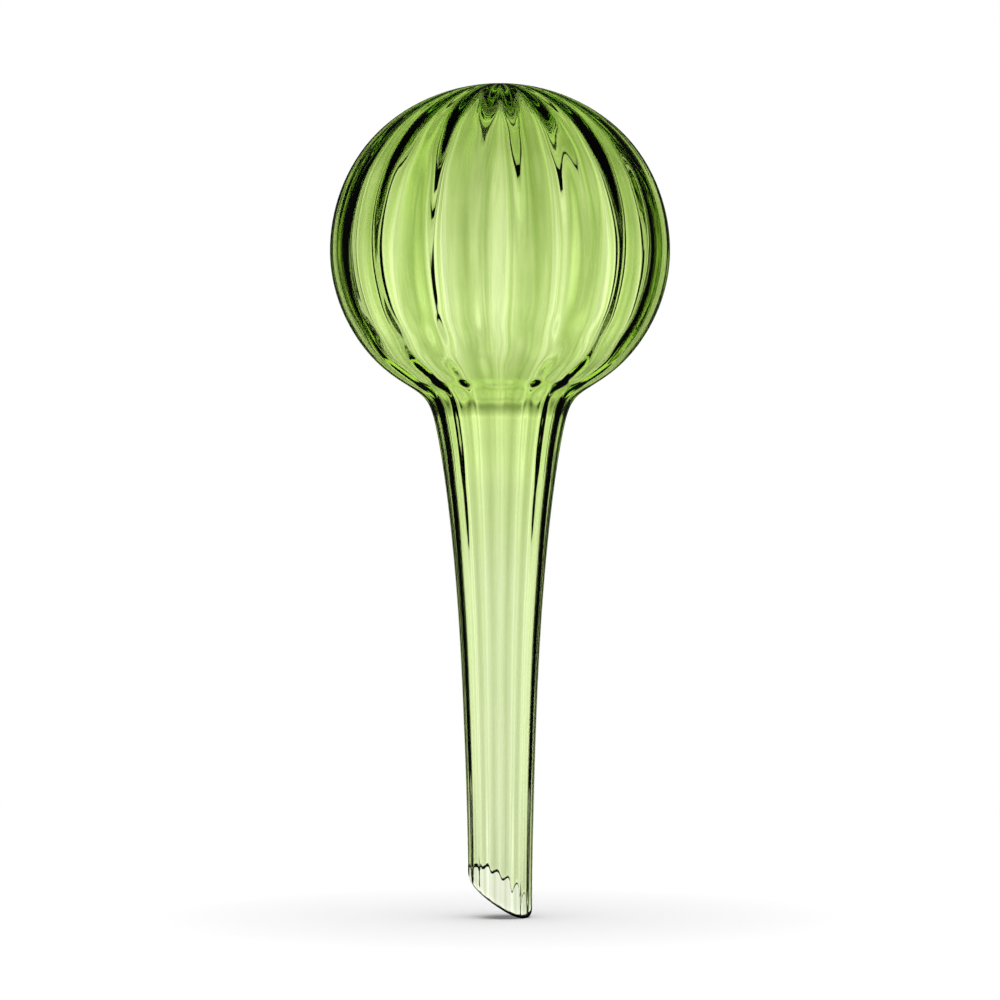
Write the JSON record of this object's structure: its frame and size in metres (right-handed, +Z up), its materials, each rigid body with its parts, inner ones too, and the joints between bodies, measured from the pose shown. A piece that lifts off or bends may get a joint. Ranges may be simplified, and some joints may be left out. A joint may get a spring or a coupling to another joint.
{
  "type": "watering globe",
  "caption": "Ribbed green glass ball on a long tapered hollow stem with a slanted open tip, which lets stored water out into the soil.",
  "frame": {"origin": "on the stem's axis, level with the lowest point of the tip", "axes": "+Z up the stem's axis to the ball, +X towards the side on which the tip's slant is lowest, XZ the mirror plane"},
  "size_m": [0.09, 0.09, 0.2207],
  "materials": {
    "green_glass": "clear yellow-green glass, fire-polished"
  },
  "bodies": {
    "root": {"glass_globe": "green_glass"}
  },
  "joints": []
}
